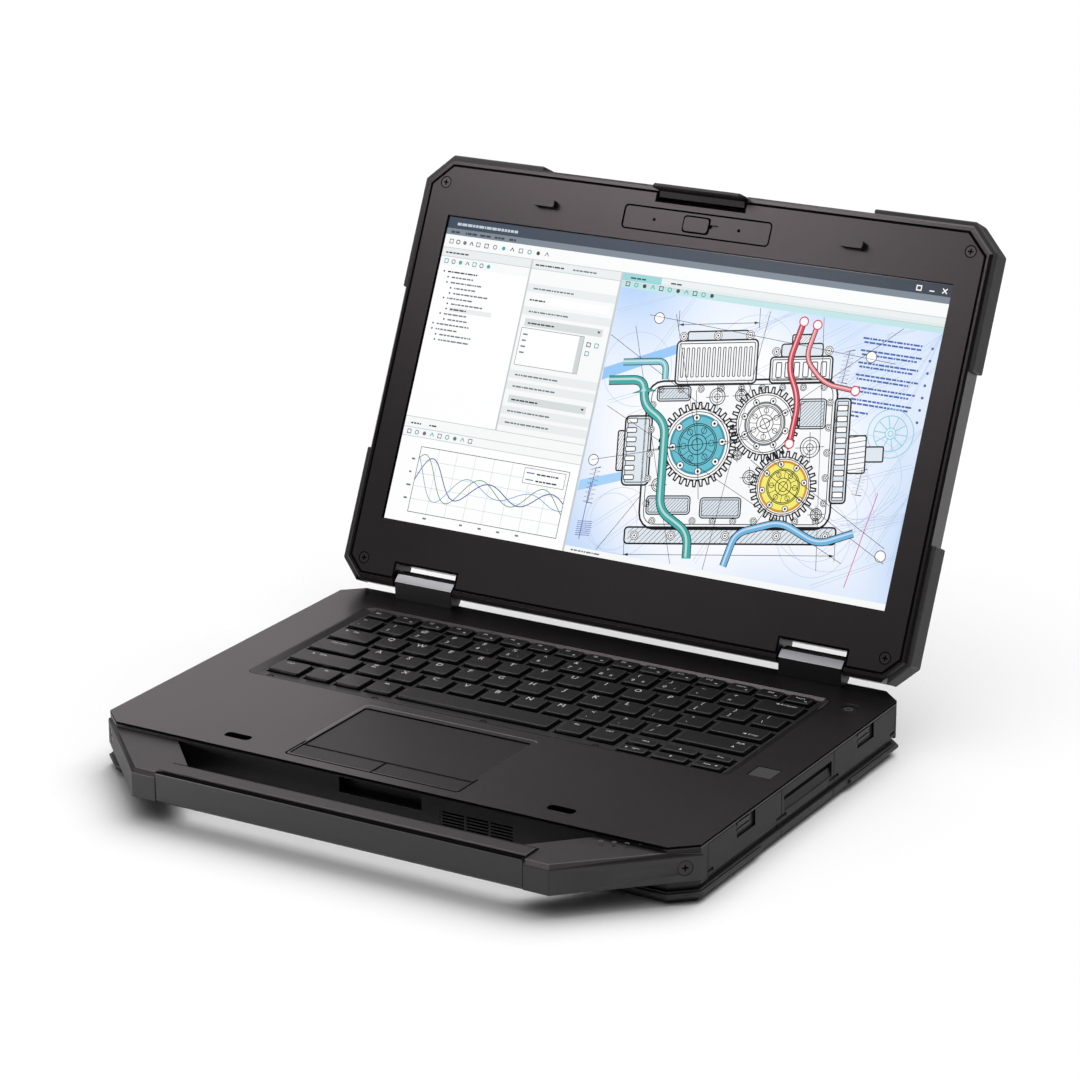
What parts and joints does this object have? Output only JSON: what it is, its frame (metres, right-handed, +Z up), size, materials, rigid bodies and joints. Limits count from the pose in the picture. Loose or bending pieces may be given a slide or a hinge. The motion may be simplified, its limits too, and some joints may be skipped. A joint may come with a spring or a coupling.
{
  "type": "laptop computer",
  "caption": "Semi-rugged clamshell laptop with corner bumpers, latched lid, side port doors and a fixed front carrying handle, open for use.",
  "frame": {"origin": "centre of the overall footprint at foot level, with the lid in its rest pose", "axes": "+X to the user's right, +Y away from the user towards the hinge, +Z up"},
  "size_m": [0.351, 0.3868, 0.2611],
  "materials": {
    "case_paint": "fine-textured charcoal paint on light alloy",
    "dark_plastic": "fine grain",
    "key_plastic": "smooth matte",
    "black_plastic": "matte",
    "bumper_rubber": "matte",
    "grip_rubber": "matte",
    "screw_steel": "satin",
    "bracket_metal": "satin",
    "caddy_metal": "pressed sheet",
    "sheet_steel": "satin",
    "board_green": "lacquered board",
    "copper": "bare copper",
    "light_lens": "clear",
    "panel_film": "display",
    "screen_glass": "anti-glare"
  },
  "bodies": {
    "base": {"base_case": "case_paint", "bottom_cover": "dark_plastic", "bottom_screws": "screw_steel", "base_bumpers": "bumper_rubber", "palmrest_plate": "case_paint", "keyboard_plate": "key_plastic", "keyboard_screws": "screw_steel", "key_membrane": "sheet_steel", "touchpad": "dark_plastic", "fingerprint_reader": "sheet_steel", "status_lights": "light_lens", "handle_frame": "case_paint", "handle_grip": "grip_rubber", "handle_screws": "screw_steel", "speaker_grille": "black_plastic", "speaker": "black_plastic", "hinge_blocks": "bracket_metal", "mainboard": "board_green", "fan_housing": "black_plastic", "heat_sink": "copper", "battery": "black_plastic", "storage_drive": "caddy_metal", "dock_connector": "black_plastic", "right_ports": "sheet_steel", "left_ports": "sheet_steel", "power_jack": "black_plastic", "door_pins": "screw_steel"},
    "lid": {"lid_cover": "case_paint", "lid_bezel": "dark_plastic", "display_panel": "panel_film", "screen_glass": "screen_glass", "lid_bumpers": "bumper_rubber", "lid_pads": "bumper_rubber", "lid_screws": "screw_steel", "camera_module": "black_plastic", "hinge_pins": "screw_steel", "latch_pin": "screw_steel"},
    "fan_rotor": {"fan_rotor": "black_plastic"},
    "power_button": {"power_button": "dark_plastic"},
    "touchpad_left_button": {"touchpad_left_button": "dark_plastic"},
    "touchpad_right_button": {"touchpad_right_button": "dark_plastic"},
    "right_front_door": {"right_front_door": "dark_plastic"},
    "right_bay_door": {"right_bay_door": "dark_plastic"},
    "right_rear_door": {"right_rear_door": "dark_plastic"},
    "left_front_door": {"left_front_door": "dark_plastic"},
    "left_rear_door": {"left_rear_door": "dark_plastic"},
    "right_front_door_latch": {"right_front_door_latch": "black_plastic"},
    "right_rear_door_latch": {"right_rear_door_latch": "black_plastic"},
    "left_front_door_latch": {"left_front_door_latch": "black_plastic"},
    "left_rear_door_latch": {"left_rear_door_latch": "black_plastic"},
    "camera_shutter": {"camera_shutter": "dark_plastic"},
    "lid_latch": {"lid_latch": "dark_plastic"},
    "function_keys": {"function_keys": "key_plastic"},
    "number_keys": {"number_keys": "key_plastic"},
    "upper_letter_keys": {"upper_letter_keys": "key_plastic"},
    "home_letter_keys": {"home_letter_keys": "key_plastic"},
    "lower_letter_keys": {"lower_letter_keys": "key_plastic"},
    "modifier_keys": {"modifier_keys": "key_plastic"},
    "space_bar": {"space_bar": "key_plastic"},
    "cursor_keys": {"cursor_keys": "key_plastic"}
  },
  "joints": [
    {"name": "lid_hinge", "type": "hinge", "parent": "base", "child": "lid", "pos_m": [0, 0.08369, 0.0379], "axis": [-1, 0, 0], "range_deg": [-114.9, 25]},
    {"name": "lid_latch_pivot", "type": "hinge", "parent": "lid", "child": "lid_latch", "pos_m": [0, 0.18452, 0.25128], "axis": [1, 0, 0], "range_deg": [-20, 6], "stiffness_Nm_per_rad": 0.05},
    {"name": "camera_shutter_slide", "type": "slide", "parent": "lid", "child": "camera_shutter", "axis": [1, 0, 0], "range_m": [0, 0.01]},
    {"name": "function_keys_travel", "type": "slide", "parent": "base", "child": "function_keys", "axis": [0, 0, -1], "range_m": [0, 0.002], "stiffness_N_per_m": 500},
    {"name": "number_keys_travel", "type": "slide", "parent": "base", "child": "number_keys", "axis": [0, 0, -1], "range_m": [0, 0.002], "stiffness_N_per_m": 500},
    {"name": "upper_letter_keys_travel", "type": "slide", "parent": "base", "child": "upper_letter_keys", "axis": [0, 0, -1], "range_m": [0, 0.002], "stiffness_N_per_m": 500},
    {"name": "home_letter_keys_travel", "type": "slide", "parent": "base", "child": "home_letter_keys", "axis": [0, 0, -1], "range_m": [0, 0.002], "stiffness_N_per_m": 500},
    {"name": "lower_letter_keys_travel", "type": "slide", "parent": "base", "child": "lower_letter_keys", "axis": [0, 0, -1], "range_m": [0, 0.002], "stiffness_N_per_m": 500},
    {"name": "modifier_keys_travel", "type": "slide", "parent": "base", "child": "modifier_keys", "axis": [0, 0, -1], "range_m": [0, 0.002], "stiffness_N_per_m": 500},
    {"name": "space_bar_travel", "type": "slide", "parent": "base", "child": "space_bar", "axis": [0, 0, -1], "range_m": [0, 0.002], "stiffness_N_per_m": 500},
    {"name": "cursor_keys_travel", "type": "slide", "parent": "base", "child": "cursor_keys", "axis": [0, 0, -1], "range_m": [0, 0.002], "stiffness_N_per_m": 500},
    {"name": "power_button_travel", "type": "slide", "parent": "base", "child": "power_button", "axis": [0, 0, -1], "range_m": [0, 0.0006], "stiffness_N_per_m": 300},
    {"name": "touchpad_left_button_travel", "type": "slide", "parent": "base", "child": "touchpad_left_button", "axis": [0, 0, -1], "range_m": [0, 0.0008], "stiffness_N_per_m": 400},
    {"name": "touchpad_right_button_travel", "type": "slide", "parent": "base", "child": "touchpad_right_button", "axis": [0, 0, -1], "range_m": [0, 0.0008], "stiffness_N_per_m": 400},
    {"name": "fan_spin", "type": "hinge", "parent": "base", "child": "fan_rotor", "pos_m": [-0.09716, 0.02749, 0.015], "axis": [0, 0, 1], "continuous": true},
    {"name": "right_front_door_hinge", "type": "hinge", "parent": "base", "child": "right_front_door", "pos_m": [0.17026, -0.13401, 0.0119], "axis": [0, 1, 0], "range_deg": [0, 100]},
    {"name": "right_front_door_latch_slide", "type": "slide", "parent": "right_front_door", "child": "right_front_door_latch", "axis": [0, 1, 0], "range_m": [0, 0.005]},
    {"name": "right_bay_door_hinge", "type": "hinge", "parent": "base", "child": "right_bay_door", "pos_m": [0.17026, -0.05753, 0.0119], "axis": [0, 1, 0], "range_deg": [0, 100]},
    {"name": "right_rear_door_hinge", "type": "hinge", "parent": "base", "child": "right_rear_door", "pos_m": [0.17026, 0.0004, 0.0119], "axis": [0, 1, 0], "range_deg": [0, 100]},
    {"name": "right_rear_door_latch_slide", "type": "slide", "parent": "right_rear_door", "child": "right_rear_door_latch", "axis": [0, 1, 0], "range_m": [0, 0.005]},
    {"name": "left_front_door_hinge", "type": "hinge", "parent": "base", "child": "left_front_door", "pos_m": [-0.17026, -0.13401, 0.0119], "axis": [0, -1, 0], "range_deg": [0, 100]},
    {"name": "left_front_door_latch_slide", "type": "slide", "parent": "left_front_door", "child": "left_front_door_latch", "axis": [0, 1, 0], "range_m": [0, 0.005]},
    {"name": "left_rear_door_hinge", "type": "hinge", "parent": "base", "child": "left_rear_door", "pos_m": [-0.17026, 0.0004, 0.0119], "axis": [0, -1, 0], "range_deg": [0, 100]},
    {"name": "left_rear_door_latch_slide", "type": "slide", "parent": "left_rear_door", "child": "left_rear_door_latch", "axis": [0, 1, 0], "range_m": [0, 0.005]}
  ]
}
